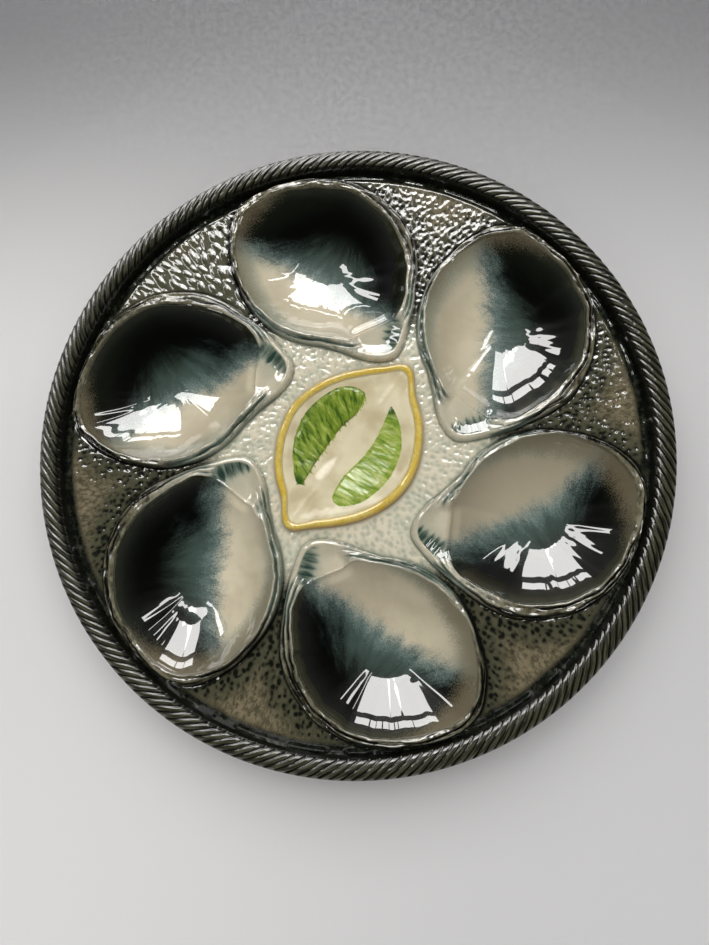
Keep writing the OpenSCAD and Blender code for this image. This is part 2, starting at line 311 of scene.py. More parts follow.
def glazed(name, paint, skin=1.0, coat=1.0, satin=0.0):
    # glossy glazed clay; paint(wires) gives the colour socket
    material = bpy.data.materials.new(name)
    material.use_nodes = True
    tree = material.node_tree
    tree.nodes.clear()
    wires = Wiring(tree)
    shader = wires.node("ShaderNodeBsdfPrincipled", {
        "IOR": 1.5, "Specular IOR Level": 0.12, "Coat Weight": coat, "Coat Roughness": 0.025 + satin * 0.3,
        "Coat IOR": 1.8})
    wires.put(shader.inputs["Base Color"], paint(wires))
    group = wires.node("ShaderNodeGroup", node_tree=glazeSkin)
    wires.put(group.inputs["Vector"], wires.place())
    bump = wires.node("ShaderNodeBump", {"Strength": 0.25 * skin, "Distance": 0.0004})
    wires.put(bump.inputs["Height"], group.outputs["Height"])
    wires.put(shader.inputs["Normal"], bump.outputs[0])
    wires.put(shader.inputs["Roughness"], wires.plus(group.outputs["Roughness"], satin))
    out = wires.node("ShaderNodeOutputMaterial")
    wires.put(out.inputs[0], shader.outputs[0])
    return material


def useGroup(wires, group, **inputs):
    made = wires.node("ShaderNodeGroup", node_tree=group)
    for key, value in inputs.items():
        wires.put(made.inputs[key], value)
    return made.outputs[0]


def sprayer(w, brush, place):
    # airbrushed masks that share one surface's strokes
    def spray(field, feather, streak, grit=0.5):
        return useGroup(w, airbrush, Field=w.value(field) if isinstance(field, str) else field, Brush=brush,
                        Place=place, Feather=feather, Streak=streak, Grit=grit)
    return spray


def overUnderside(w, c, shown):
    # thin speckled glaze where the piece is seen from below
    under = useGroup(w, sprayed, Vector=w.place(), Scale=700.0, Amount=0.5, Colour=c["below"],
                     Speck=c["belowSpeck"])
    return w.mix(w.value("below"), shown, under)


# Shell glazes
shellPaint = {"cream": (236, 226, 198), "creamShade": (218, 206, 178), "creamInShade": (180, 170, 146),
              "greenCream": (146, 158, 142), "teal": (78, 98, 94), "paleTeal": (146, 164, 158),
              "greyGreen": (48, 60, 52), "deep": (2, 3, 1), "dusk": (22, 26, 17), "halo": (44, 47, 33),
              "dusting": (140, 128, 102), "leaf": (212, 206, 184), "leafGreen": (122, 140, 126),
              "leafWarm": (116, 108, 84), "leafDark": (44, 46, 34),
              "crease": (8, 11, 8), "creaseGreen": (74, 96, 86), "crest": (228, 222, 202),
              "crestWarm": (154, 151, 126), "fan": (40, 66, 56), "fanPale": (128, 144, 130),
              "earCream": (216, 207, 182), "earShade": (192, 188, 164), "below": (150, 138, 112),
              "belowSpeck": (66, 76, 66)}


def paintShell(w):
    c = colours(shellPaint)
    place, creamField = w.place(), w.value("creamField")
    spray = sprayer(w, w.vector("brush"), place)
    dark = w.mix(spray("duskField", 13.0, 3.0, 0.4), c["deep"], c["dusk"])
    dark = w.mix(spray("haloField", 4.5, 0.8, 0.7), dark, c["halo"])
    inner = w.mix(w.times(spray("discField", 12.0, 3.5), 0.95), dark, c["greyGreen"])
    inner = w.mix(w.times(spray("tealField", 16.0, 6.0, 0.3), 0.9), inner, c["teal"])
    inner = w.mix(w.times(spray(w.plus(creamField, 3.5), 13.0, 6.0, 0.8), 0.85), inner, c["paleTeal"])
    cloud = w.ramp(w.noise(place, 60.0, 3.0, 0.5), 0.35, 0.7)
    # painted shade: the cream of some wells is darkened towards a shaded cream, by a share set for each well
    cream = w.mix(w.value("wellShade"), w.mix(cloud, c["cream"], c["creamShade"]), c["creamInShade"])
    cream = w.mix(w.times(spray("sideField", 6.0, 1.5, 0.8), 0.6), cream, c["greenCream"])
    inner = w.mix(spray(creamField, 8.5, 4.2, 0.9), inner, cream)
    inner = w.mix(w.times(spray("dustField", 8.0, 1.5, 1.3), 0.7), inner, c["dusting"])
    # leaves of the edge, pale green towards the lemon and brown towards the rope
    warm, fan = w.value("warmField"), w.value("fan")
    streaky = w.ramp(w.noise(w.vector("leafBrush"), 1.0, 4.0, 0.65), 0.38, 0.64)
    blotch = w.ramp(w.noise(place, 330.0, 3.0, 0.6), 0.50, 0.62)
    # the crest colour is partly thin glaze and partly painted highlight
    crestColour = w.mix(warm, c["crest"], c["crestWarm"])
    leaf = w.mix(warm, w.mix(w.times(streaky, 0.6), c["leaf"], c["leafGreen"]),
                 w.mix(streaky, c["leafWarm"], c["leafDark"]))
    leaf = w.mix(w.times(blotch, 0.55), leaf, crestColour)
    leaf = useGroup(w, sprayed, Vector=place, Scale=1300.0, Amount=0.28, Colour=leaf, Speck=c["leafDark"])
    pool = w.mix(w.ramp(warm, 0.0, 0.45), c["creaseGreen"], c["crease"])
    edge = useGroup(w, pooledGlaze, Colour=leaf, Pool=pool, Thin=crestColour, Depth=w.value("crease"),
                    Crest=w.value("crest"), Strength=1.0)
    edge = w.mix(w.times(w.value("ear"), 0.92), edge, w.mix(cloud, c["earCream"], c["earShade"]))
    combed = w.minus(w.noise(w.vector("padBrush"), 1.0, 3.0, 0.6), 0.5)
    fan = w.plus(fan, w.times(combed, w.times(fan, 1.4)))
    edge = w.mix(w.ramp(fan, 0.02, 0.6, 0.0, 0.85), edge, c["fanPale"])
    edge = w.mix(w.ramp(fan, 0.35, 0.95), edge, c["fan"])
    return overUnderside(w, c, w.mix(w.value("rim"), inner, edge))


shellGlaze = glazed("shellGlaze", paintShell, 1.0)

# One shell in the frame of the first well; each has its own leaves and lumps
shellMesh = {"around": 640, "underRings": 12, "rimRings": 50, "wellRings": 46, "lumps": 38, "fanStrokes": 6,
             "walls": (15.5, 17.5, 19.2, 20.4), "lipTop": 24.35, "edgeTop": 22.6,
             "leafShares": (0.24, 0.52, 0.80),
             "leafRise": 0.75, "leafDrop": 0.85, "bead": 0.5, "frill": 0.55, "rough": 0.34, "groove": 1.0,
             "hingeIn": 4.0, "fanDepth": 0.35, "fanStroke": 0.15, "earSlope": 2.0, "ridge": 0.4,
             "stepRadius": 15.0, "stepHeight": 0.42, "fold": 0.06, "swell": 0.15, "lipDrop": 0.35}


def wellHeight(t):
    sunk = np.power(np.clip(1 - np.power(t, wellSize["power"]), 0, 1), wellSize["round"])
    return wellSize["lip"] - wellSize["depth"] * sunk


def window(degrees, low, high, soft):
    return smoothStep((degrees - low) / soft + 0.5) * smoothStep((high - degrees) / soft + 0.5)


def longNoise(degrees, across, seed):
    # noise drawn out along the rim, faded over where the turn closes
    share = smoothStep(np.minimum(degrees, 360 - degrees) / 20)
    first = softNoise(degrees / 7, across, seed)
    return share * first + (1 - share) * softNoise((degrees + 180) % 360 / 7 + 80, across, seed + 1)


def shellShape(index):
    seed = 100 * (index + 1)
    n = shellMesh["around"]
    degrees = np.arange(n) * 360 / n
    cosA, sinA = np.cos(np.radians(degrees)), np.sin(np.radians(degrees))

    def wander(count, key):
        return roundNoise(degrees, count, seed + key)

    # the hinge faces the lemon, the rest of the edge is free and leafy
    hinge = window(degrees, 293, 322, 8)
    free = 1 - hinge
    uneven = 0.45 * wander(22, 0) + 0.28 * wander(58, 1)
    lip = lipReach(degrees) - shellMesh["hingeIn"] * window(degrees, 288, 326, 22)
    lip = lip + uneven * (1 - 0.6 * hinge)
    edge = edgeReach(degrees) + 0.22 * wander(30, 2)
    width = edge - lip
    rows = []  # radius, height, rim, crease, crest, below, fan, ear
    for u in np.linspace(0.03, 1, shellMesh["underRings"]):
        rows.append((edge * u, bellyHeight(u), 1, 0, 0, 1, 0, 0))
    for z in shellMesh["walls"]:
        shade = (0.8 if z > 18 else 0) * (1 - 0.85 * hinge)
        rows.append((edge, z, 1, shade, 0, z < 18, 0, 0))
    leaves, strength = [], []
    for k, share in enumerate(shellMesh["leafShares"]):
        shift = 0.9 * wander(9, 10 + k) + 0.55 * wander(34, 20 + k)
        leaves.append(np.maximum(share * width + shift * np.clip(width / 5, 0.5, 1), 0.75))
        shown = smoothStep((wander(8, 30 + k) + 0.42) / 0.5)
        strength.append(shown * (0.85 + 0.5 * wander(34, 40 + k)) * free)
    wave = wander(9, 50) * 0.6 + wander(26, 51) * 0.4
    groove = window(degrees, 206, 288, 14) * (0.75 + 0.35 * wander(14, 52))
    grooveAt = (0.52 + 0.10 * wander(12, 53)) * width
    bead = np.clip(0.2 + 0.9 * wander(22, 60) + 0.45 * wander(60, 64), -0.3, 1.1) * free
    arm, sill = window(degrees, 311, 338, 8), window(degrees, 292, 313, 8)
    rng = np.random.default_rng(seed)
    fanStrokes = []  # start, end, thickness, strength
    for k in range(shellMesh["fanStrokes"]):
        along = 39.6 + 2.7 * k + rng.uniform(-0.4, 0.4)
        start, reach = 12.2 + 0.35 * k + rng.uniform(-0.5, 0.5), rng.uniform(8.0, 10.5)
        fanStrokes.append(((start, along), (start + reach, along - 0.22 * reach + rng.uniform(-0.4, 0.4)),
                           rng.uniform(1.0, 1.5), rng.uniform(0.5, 1.0)))
    lumps = [(rng.uniform(0, 285), rng.uniform(0.25, 0.85), rng.uniform(0.7, 1.5), rng.uniform(0.25, 0.6))
             for _ in range(shellMesh["lumps"])]
    for s in np.linspace(1, 0, shellMesh["rimRings"]):
        r = lip + width * s
        d, outward = width * s, width * (1 - s)  # distance from the lip and from the outer edge
        z = shellMesh["lipTop"] - (shellMesh["lipTop"] - shellMesh["edgeTop"]) * s ** 1.7
        z = z + shellMesh["frill"] * wave * (0.4 + 0.6 * s) * free
        z = z + shellMesh["bead"] * bead * hill(d - 0.8, 0.7)
        # crest: pale paint on the lip bead, leaves, lumps, rough bumps and the hinge ridge, partly thin glaze
        # and partly painted highlight
        crease, crest = np.zeros(n), 0.35 * np.clip(bead * 1.5 - 0.35, 0, 1) * hill(d - 0.7, 0.7)
        for at, amount in zip(leaves, strength):
            x = d - at
            z = z + shellMesh["leafRise"] * amount * np.where(x < 0, hill(x, 1.15), hill(x, 0.3))
            z = z - shellMesh["leafDrop"] * amount * hill(x - 0.55, 0.4)
            crease = np.maximum(crease, np.clip(amount * 1.5, 0, 1) * hill(x - 0.65, 0.7))
            crest = np.maximum(crest, 0.6 * np.clip(amount, 0, 1) * hill(x + 0.45, 0.65))
        z = z - shellMesh["groove"] * groove * hill(d - grooveAt, 0.85)
        crease = np.maximum(crease, groove * hill(d - grooveAt, 0.75))
        crest = crest * (1 - np.clip(crease, 0, 1))
        for place, share, size, rise in lumps:
            arc = ((degrees - place + 180) % 360 - 180) * math.pi / 180 * r
            bump = hill(np.hypot(arc * 0.6, d - share * width), size) * free
            z, crest = z + rise * bump, np.maximum(crest, 0.5 * bump)
        x, y = wellX + r * cosA, wellY + r * sinA
        rough = longNoise(degrees, d / 1.2, seed + 61)
        rough = rough + 0.35 * softNoise(x / 1.2 + 50, y / 1.2 + 50, seed + 63)
        loose = smoothStep(d / 0.9) * (1 - 0.97 * hinge)
        z = z + shellMesh["rough"] * rough * loose
        crease = np.maximum(crease, 0.75 * smoothStep((-rough - 0.35) / 0.5) * loose)
        crest = crest * (1 - crease * 0.8) + 0.45 * smoothStep((rough - 0.5) / 0.5) * loose * (1 - crease)
        # hinge: a sunk pad with short leaf strokes between a raised arm and a sill
        pad = hinge * smoothStep((d + 0.6) / 1.2) * smoothStep((outward - 1.9) / 1.6)
        strokes = np.zeros(n)
        for a, b, size, amount in fanStrokes:
            along = alongSegment(x, y, a, b)
            fade = amount * smoothStep((1.1 - along) / 0.8) * smoothStep((along + 0.2) / 0.4)
            thick = size * (0.35 + 0.85 * np.sin(math.pi * along))
            strokes = np.maximum(strokes, fade * hill(segmentDistance(x, y, a, b), thick))
        z = z - pad * (shellMesh["fanDepth"] + shellMesh["fanStroke"] * strokes)
        z = z - shellMesh["earSlope"] * hinge * smoothStep((outward - 1.2) / 7.5)
        ridge = np.maximum(arm, 0.9 * sill) * hill(outward - 2.1, 2.0)
        z = z + shellMesh["ridge"] * ridge
        crest = np.maximum(crest * (1 - 0.6 * hinge), 0.7 * ridge)
        smoke = hill(x - 17.5, 5.5) * hill(y - 45.5, 9.0)
        fan = smoothStep(pad / 0.8) * np.clip(0.55 * smoke + 0.55 * strokes, 0, 1)
        ear = hinge * smoothStep((outward - 0.5) / 0.8) * smoothStep((d + 0.2) / 0.8)
        # the outer edge rolls down to the ground, and the lip into the well
        z = z - (1.5 - 0.4 * hinge) * np.clip(1 - outward, 0, 1) ** 2
        z = z - 0.5 * hinge * np.clip(1 - outward / 2.6, 0, 1) ** 2
        z = z - shellMesh["lipDrop"] * free * np.clip(1 - d / 0.35, 0, 1) ** 2
        crease = np.maximum(crease, 0.9 * hill(outward, 0.55) * (1 - 0.8 * hinge))
        rows.append((r, z, smoothStep((d + 0.15) / (0.35 + 1.6 * hinge)), crease, crest, 0, fan, ear))
    for t in np.linspace(1, 0.012, shellMesh["wellRings"]) ** 0.8:
        r = lip * t
        x, y = wellX + r * cosA, wellY + r * sinA
        step = smoothStep((np.hypot(x + 13, y - 76.5) - shellMesh["stepRadius"] + 2.6) / 5.2)
        step = step * smoothStep((x * 0.35 + y - 64) / 12)
        fold = hill(segmentDistance(x, y, (-27, 73), (-11, 60)), 3.4)
        fold = fold - 0.7 * hill(segmentDistance(x, y, (-22, 67), (-8, 56)), 3.8)
        z = wellHeight(t) - shellMesh["lipDrop"] * free * smoothStep((t - 0.985) / 0.015)
        z = z + (shellMesh["stepHeight"] * step + shellMesh["fold"] * fold) * (1 - t ** 6)
        z = z + shellMesh["swell"] * softNoise(x / 8, y / 8, seed + 70) * (1 - t ** 4)
        slope = shellMesh["earSlope"] * smoothStep((width - 1.2) / 7.5) + shellMesh["fanDepth"] * 0.5 + 0.05
        z = z - slope * hinge * smoothStep((t - 0.86) / 0.14)
        rows.append((r, z, 0, 0, 0, 0, 0, 0))
    radius, height, *spread = gather(rows, n)
    angles = np.tile(degrees, len(rows))
    x = np.append(wellX + radius * np.cos(np.radians(angles)), [wellX] * 2)
    y = np.append(wellY + radius * np.sin(np.radians(angles)), [wellY] * 2)
    z = np.append(height, [bellyLow, height[-n:].mean()])
    extra = [np.append(values, [values[0], values[-1]]) for values in spread]
    lipAt = np.append(np.tile(lip, len(rows)), [lip[0]] * 2)
    return x, y, z, closedRings(len(rows), n), extra, np.append(angles, [0, 0]), lipAt


# Where each glaze lies in a shell, in the frame of the first well
creamLine = np.array([(-60, 83), (-46, 82), (-38, 81), (-30, 79), (-21, 75), (-13, 69.5), (-5, 62.5), (3, 57),
                      (9, 52.5), (14, 46), (17, 34)])
shellDrift = (0.5, 1.2, 0.5, 1.5, 1.5, 2.0)
# share of painted shade on each well's cream
wellShadeShare = (0.1, 0.2, 0.0, 0.35, 0.9, 0.3)
shellDust = (-3.5, -3.0, 0.0, 0.5, 0.5, -3.5)
sprayX, sprayY = 2, 102  # where the airbrush strokes fan out from
for index in range(plateSize["shells"]):
    px, py, pz, faces, (rim, crease, crest, below, fan, ear), angles, lipAt = shellShape(index)
    distance = np.full(len(px), 1e9)
    for a, b in zip(creamLine[:-1], creamLine[1:]):
        distance = np.minimum(distance, segmentDistance(px, py, a, b))
    under = np.interp(px, creamLine[:, 0], creamLine[:, 1]) > py
    creamField = np.where(under & (px < creamLine[-1, 0]), distance, -distance) + shellDrift[index]
    fromLip = lipAt - np.hypot(px - wellX, py - wellY)
    ray = (np.degrees(np.arctan2(py - sprayY, px - sprayX)) - 60) % 360 - 180
    turnAngle, whole = np.radians(angles), np.ones(len(px))
    fields = {"rim": rim, "crease": crease, "crest": crest, "below": below, "fan": fan, "ear": ear,
              "wellShade": whole * wellShadeShare[index],
              "creamField": creamField,
              "tealField": np.maximum(9.0 - np.abs(creamField + 5.0) * 1.1 - 0.3 * np.abs(px + 8),
                                      9.5 - np.hypot((px + 9) * 0.8, py - 72)),
              "discField": 17.0 - np.hypot(px + 13, py - 74.5),
              "duskField": 5.5 - fromLip + 3.0 * np.clip((-14 - px) / 16, -0.6, 1),
              "haloField": 1.4 - fromLip + 1.0 * np.clip((px + 20) / -20, 0, 1),
              "sideField": 4.0 - fromLip + np.clip((-26 - px) * 0.25, -8, 2.5),
              "dustField": 2.5 + shellDust[index] - fromLip + np.clip((-30 - px) * 0.4, -9, 3),
              "warmField": smoothStep((np.hypot(px, py) - 62) / 30),
              "brush": np.stack([np.radians(ray) * 9, np.hypot(px - sprayX, py - sprayY) * 0.09,
                                 whole * (index * 3.1)], 1),
              "padBrush": np.stack([px * 0.16 + py * 0.03, py * 1.1 + px * 0.25, whole * (index * 5.3)], 1),
              "leafBrush": np.stack([np.cos(turnAngle) * 14 + index * 7.7, np.sin(turnAngle) * 14,
                                     -fromLip * 1.1], 1)}
    x, y = turned(px, py, shellStep * index)
    makePiece(f"shellWell{index + 1}", np.stack([x, y, pz], 1), faces, fields, shellGlaze,
              f"shell_well_{index + 1}")
print("shell wells made")

# Lemon outline and heights
lemonSize = {"centre": (-1.0, 1.0), "reach": 28.7, "shoulder": 5.3, "tip": 6.8, "turn": 53.0, "rind": 3.6,
             "rindTop": 23.4, "rindFoot": 18.6, "rindInner": 21.5, "rim": 20.6, "depth": 4.6, "bowl": 24.6,
             "under": 9.5, "wallUnder": 14.0, "fleshRise": 0.9, "fleshUnder": 14.9, "around": 360}
lemonX, lemonY = lemonSize["centre"]
leftLobe = [(0.19, 0.79), (0.07, 0.85), (-0.13, 0.84), (-0.36, 0.72), (-0.58, 0.52), (-0.72, 0.26),
            (-0.78, -0.03), (-0.77, -0.24), (-0.74, -0.46), (-0.65, -0.52), (-0.48, -0.24), (-0.27, 0.08),
            (-0.07, 0.33), (0.13, 0.50), (0.22, 0.71)]
rightLobe = [(0.60, 0.56), (0.56, 0.50), (0.50, 0.37), (0.41, 0.18), (0.30, 0.01), (0.14, -0.18),
             (-0.02, -0.34), (-0.13, -0.48), (-0.23, -0.71), (-0.16, -0.81), (-0.03, -0.83), (0.18, -0.78),
             (0.40, -0.62), (0.56, -0.45), (0.67, -0.24), (0.73, -0.03), (0.73, 0.18), (0.69, 0.38)]


def lemonReach(degrees):
    c = np.abs(np.cos(np.radians(degrees - lemonSize["turn"])))
    side = (np.asarray(degrees) - lemonSize["turn"] + 90) % 180 - 90
    reach = lemonSize["reach"] + lemonSize["shoulder"] * c ** 4 + lemonSize["tip"] * c ** 60
    return reach + 0.9 * hill(side - 16, 9)


def dishReach(degrees):
    return lemonReach(degrees) - lemonSize["rind"]


def closedCurve(points, count):
    # smooth closed outline through given points
    p = np.array(points) * lemonSize["reach"]
    m = len(p)
    t = np.arange(count) * m / count
    i = np.floor(t).astype(int)
    f = (t - i)[:, None]
    a, b, c, d = p[(i - 1) % m], p[i % m], p[(i + 1) % m], p[(i + 2) % m]
    cubed = (3 * b - a - 3 * c + d) * f ** 3
    return 0.5 * (2 * b + (c - a) * f + (2 * a - 5 * b + 4 * c - d) * f ** 2 + cubed)


def dishHeight(x, y):
    # x, y from the lemon's own centre
    r = np.hypot(x, y)
    t = np.clip(r / lemonSize["bowl"], 0, 1)
    z = lemonSize["rim"] - lemonSize["depth"] * (1 - smoothStep(t) * 0.75 - 0.25 * t ** 2)
    z = z + 1.2 * smoothStep((r / dishReach(np.degrees(np.arctan2(y, x))) - 0.80) / 0.20)
    along, across = turned(x, y, -lemonSize["turn"])
    away = np.abs(along)
    z = z + 0.7 * hill(across, 3.4) * smoothStep((26 - away) / 10)
    z = z + 0.35 * hill(across, 1.0) * smoothStep((away - 18) / 6)
    creases = np.sin(across * 1.9 + 0.6 * np.sin(along * 0.3))
    return z + 0.05 * creases * smoothStep((away - 20) / 6) * smoothStep((37 - away) / 5)


lobeCurves = [closedCurve(leftLobe, 240), closedCurve(rightLobe, 240)]


def insideDistance(x, y, curve):
    # signed distance to a closed curve, positive inside, by its nearest corner point
    inside = np.zeros(len(x), bool)
    best = np.full(len(x), 1e9)
    for a, b in zip(curve, np.roll(curve, -1, 0)):
        crosses = (a[1] > y) != (b[1] > y)
        inside ^= crosses & (x < (b[0] - a[0]) * (y - a[1]) / (b[1] - a[1] + 1e-12) + a[0])
        best = np.minimum(best, segmentDistance(x, y, a, b))
    return np.where(inside, best, -best)


lemonPaint = {"pith": (232, 222, 188), "pithShade": (208, 194, 156), "rind": (226, 194, 78),
              "rindDeep": (184, 134, 36), "rindPale": (234, 212, 118), "flesh": (128, 154, 46),
              "fleshDark": (66, 98, 20), "fleshLight": (176, 192, 92), "pale": (160, 184, 76),
              "paleDark": (120, 154, 44), "paleLight": (200, 210, 128), "tip": (58, 94, 20),
              "below": (150, 138, 112), "belowSpeck": (66, 76, 66)}


def fleshColour(w, c):
    # brush strokes of green, darker on the left lobe than on the right one
    stripes = w.noise(w.vector("fibre"), 1.0, 5.0, 0.62, 0.4)
    low, high = w.ramp(stripes, 0.38, 0.50), w.ramp(stripes, 0.50, 0.64)
    darkLobe = w.mix(high, w.mix(low, c["fleshDark"], c["flesh"]), c["fleshLight"])
    paleLobe = w.mix(high, w.mix(low, c["paleDark"], c["pale"]), c["paleLight"])
    green = w.mix(w.value("paleLobe"), darkLobe, paleLobe)
    return w.mix(w.value("tip"), green, c["tip"])


def paintPith(w):
    c = colours(lemonPaint)
    cloud = w.noise(w.place(), 90.0, 3.0, 0.5)
    pith = w.mix(w.ramp(cloud, 0.35, 0.68), c["pith"], c["pithShade"])
    ragged = w.minus(w.noise(w.vector("fibre"), 1.6, 3.0, 0.7), 0.5)
    painted = w.plus(w.value("lobeField"), w.times(ragged, w.value("ragged")))
    return overUnderside(w, c, w.mix(w.ramp(painted, -0.12, 0.12), pith, fleshColour(w, c)))


def paintRind(w):
    c = colours(lemonPaint)
    patch = w.noise(w.place(), 120.0, 3.0, 0.6)
    rind = w.mix(w.ramp(patch, 0.35, 0.7), c["rind"], c["rindPale"])
    rind = w.mix(w.ramp(w.value("outer"), 0.15, 0.75, 0.0, 0.9), rind, c["rindDeep"])
    rind = useGroup(w, sprayed, Vector=w.place(), Scale=900.0, Amount=0.35, Colour=rind, Speck=c["rindDeep"])
    return overUnderside(w, c, w.mix(w.value("inner"), rind, c["pith"]))


def paintFlesh(w):
    c = colours(lemonPaint)
    flesh = w.mix(w.times(w.value("shade"), 0.6), fleshColour(w, c), c["fleshDark"])
    return useGroup(w, sprayed, Vector=w.place(), Scale=1100.0, Amount=0.2, Colour=flesh,
                    Speck=c["fleshDark"])


pithGlaze = glazed("pithGlaze", paintPith, 0.8, 0.25, 0.3)
rindGlaze = glazed("rindGlaze", paintRind, 1.0, 0.7)
fleshGlaze = glazed("fleshGlaze", paintFlesh, 1.0, 0.4, 0.2)


def brushFields(x, y):
    # x, y from the lemon's own centre: stroke coordinates and where the paler lobe and the dark tips lie
    along, across = turned(x, y, -lemonSize["turn"])
    bend = np.radians(np.where(across > 0, 30 - 0.5 * along, 64 + 0.4 * along))
    fibre = np.stack([(x * np.cos(bend) + y * np.sin(bend)) * 0.5, across * 0.13, np.zeros(len(x))], 1)
    tip = np.maximum(hill(np.hypot(x - 17.2, y - 15.0), 2.6), hill(np.hypot(x + 20.0, y + 13.5), 2.0))
    return {"fibre": fibre, "paleLobe": smoothStep((-across + 1.5) / 3), "tip": np.clip(tip * 1.4, 0, 1)}


# Rind: a rounded bead round the dish
around = lemonSize["around"]
degrees = np.arange(around) * 360 / around
rindRows = []  # radius, height, outer, inner, below
for along in np.linspace(0, 1, 17):
    bend = math.pi * along
    inset = lemonSize["rind"] * (0.5 - 0.5 * math.cos(bend))
    foot = lemonSize["rindFoot"] if along < 0.5 else lemonSize["rindInner"]
    height = foot + (lemonSize["rindTop"] - foot) * math.sin(bend) ** 0.75
    wobble = (0.14 * roundNoise(degrees, 30, 71) + 0.10 * roundNoise(degrees, 75, 72)) * math.sin(bend)
    inner = smoothStep((along - 0.80 + 0.05 * roundNoise(degrees, 40, 73)) / 0.12)
    rindRows.append((lemonReach(degrees) - inset + wobble, np.minimum(height + wobble, lemonSize["rindTop"]),
                     max(0.0, 1 - along * 2.2), inner, 0))
rindRows += [(lemonReach(degrees) - inset, plateSize["under"], 0, 0, 1) for inset in (lemonSize["rind"], 0.0)]
radius, height, outer, inner, below = gather(rindRows, around)
angle = np.tile(np.radians(degrees), len(rindRows))
points = np.stack([lemonX + radius * np.cos(angle), lemonY + radius * np.sin(angle), height], 1)
makePiece("lemonRind", points, ringQuads(len(rindRows), around, True),
          {"outer": outer, "inner": inner, "below": below}, rindGlaze, "lemon_rind")

# Dish: pith with a soft middle ridge, sunk under the flesh lobes
dishRows = [(dishReach(degrees) * share, lemonSize["under"], 0, 1) for share in np.linspace(0.05, 1, 8)]
dishRows.append((dishReach(degrees), lemonSize["wallUnder"], 0, 1))
dishRows += [(dishReach(degrees) * share, 0, 1, 0) for share in np.linspace(1, 0.012, 120)]
radius, height, isTop, below = gather(dishRows, around)
angle = np.tile(np.radians(degrees), len(dishRows))
x, y = radius * np.cos(angle), radius * np.sin(angle)
lobeFields = [insideDistance(x, y, curve) for curve in lobeCurves]
top = dishHeight(x, y)
for field in lobeFields:
    top = top - 1.2 * smoothStep((field - 0.25) / 0.5)
z = np.where(isTop > 0, top, height)
ragged = np.where(lobeFields[0] > lobeFields[1], 0.8 + 14.0 * smoothStep((x - y * 0.75 + 12) / 8), 1.2)
x, y, z = np.append(x, [0, 0]), np.append(y, [0, 0]), np.append(z, [lemonSize["under"], z[-around:].mean()])
makePiece("lemonDish", np.stack([x + lemonX, y + lemonY, z], 1), closedRings(len(dishRows), around),
          {"below": np.append(below, [1, 0]), "lobeField": np.append(np.maximum(*lobeFields), [-9, -9]),
           "ragged": np.append(ragged, [0, 0]), **brushFields(x, y)}, pithGlaze, "lemon_dish")

# Flesh lobes: low pads with cross fibres
for curve, side in zip(lobeCurves, ("left", "right")):
    middle, n = curve.mean(0), len(curve)
    lobeRows = []
    for s, isTop in [(1.0, False)] + [(s, True) for s in np.linspace(1, 0.01, 70)]:
        x, y = (middle + (curve - middle) * s).T
        gap = (1 - s) * np.hypot(*(curve - middle).T)
        along, across = turned(x, y, -lemonSize["turn"])
        ribs = softNoise(along * 0.75 + across * 0.1, across * 0.12, 81)
        ribs = ribs + 0.5 * softNoise(along * 1.7, across * 0.25, 82)
        rise = lemonSize["fleshRise"] * smoothStep(gap / 2.6) ** 0.8
        top = dishHeight(x, y) - 0.10 + rise + 0.13 * ribs * smoothStep(gap / 1.5)
        z = top if isTop else lemonSize["fleshUnder"]
        lobeRows.append((x, y, z, hill(gap, 0.5) * 0.6 + np.clip(-0.4 * ribs, 0, 0.4)))
    x, y, z, shade = gather(lobeRows, n)
    x, y = np.append(x, [middle[0]] * 2), np.append(y, [middle[1]] * 2)
    z = np.append(z, [lemonSize["fleshUnder"], z[-n:].mean()])
    fields = {"shade": np.append(np.clip(shade, 0, 1), [0, 0]), **brushFields(x, y)}
    makePiece(f"lemonFlesh{side.capitalize()}", np.stack([x + lemonX, y + lemonY, z], 1),
              closedRings(len(lobeRows), n), fields, fleshGlaze, f"lemon_flesh_{side}")
print("lemon made")

# Ground: a grid cut to the shells, the lemon and the rope, with pressed pits
groundSize = {"spacing": 0.42, "span": 119, "shellSeat": 0.45, "lemonSeat": 0.3, "ropeSeat": 0.4,
              "at": (0, 79.28, 112.8, 114.2, 115.6, 119), "level": (19.6, 20.7, 21.8, 20.8, 19.7, 19.6),
              "underAt": (0, 79.28, 117), "underLevel": (14.5, 14.5, 17.5), "fieldEdge": 112.8,
              "pitDepth": 0.6, "grainHeight": 0.55, "waves": 0.10, "knob": 0.25, "bead": 1.25,
              "beadAt": 115.7, "seam": 0.5, "cell": 4.0}
# marks lie in rings: first and last ring and ring spacing, spacing along a ring, and how chance loosens them
pitMark = {"rings": (30, 114, 2.236), "step": 2.6, "twist": 0.11, "shift": 0.35, "spread": 0.8,
           "lean": (8, 24), "share": (0.7, 1.25), "strength": (0.55, 1.0), "full": 0.1, "zone": (0.3, 0.7),
           "long": 1.5, "wide": 1.0, "power": 1.0}
grainMark = {"rings": (62, 114, 4.4), "step": 3.5, "twist": 0.19, "shift": 0.3, "spread": 1.3,
             "lean": (0, 12), "share": (0.6, 1.2), "strength": (0.35, 1.0), "full": 1.0, "zone": (0.25, 0.6),
             "long": 2.5, "wide": 1.05, "power": 1.1}
groundPaint = {"taupe": (138, 127, 101), "taupeDark": (88, 83, 62), "green": (70, 72, 54),
               "pit": (14, 18, 11), "pool": (9, 12, 9), "cream": (234, 226, 202),
               "paleGreen": (200, 206, 184), "creamPit": (146, 162, 144),
               "creamSeam": (84, 106, 94), "channel": (16, 20, 16), "channelPale": (46, 50, 38),
               "below": (150, 138, 112), "belowSpeck": (66, 76, 66)}


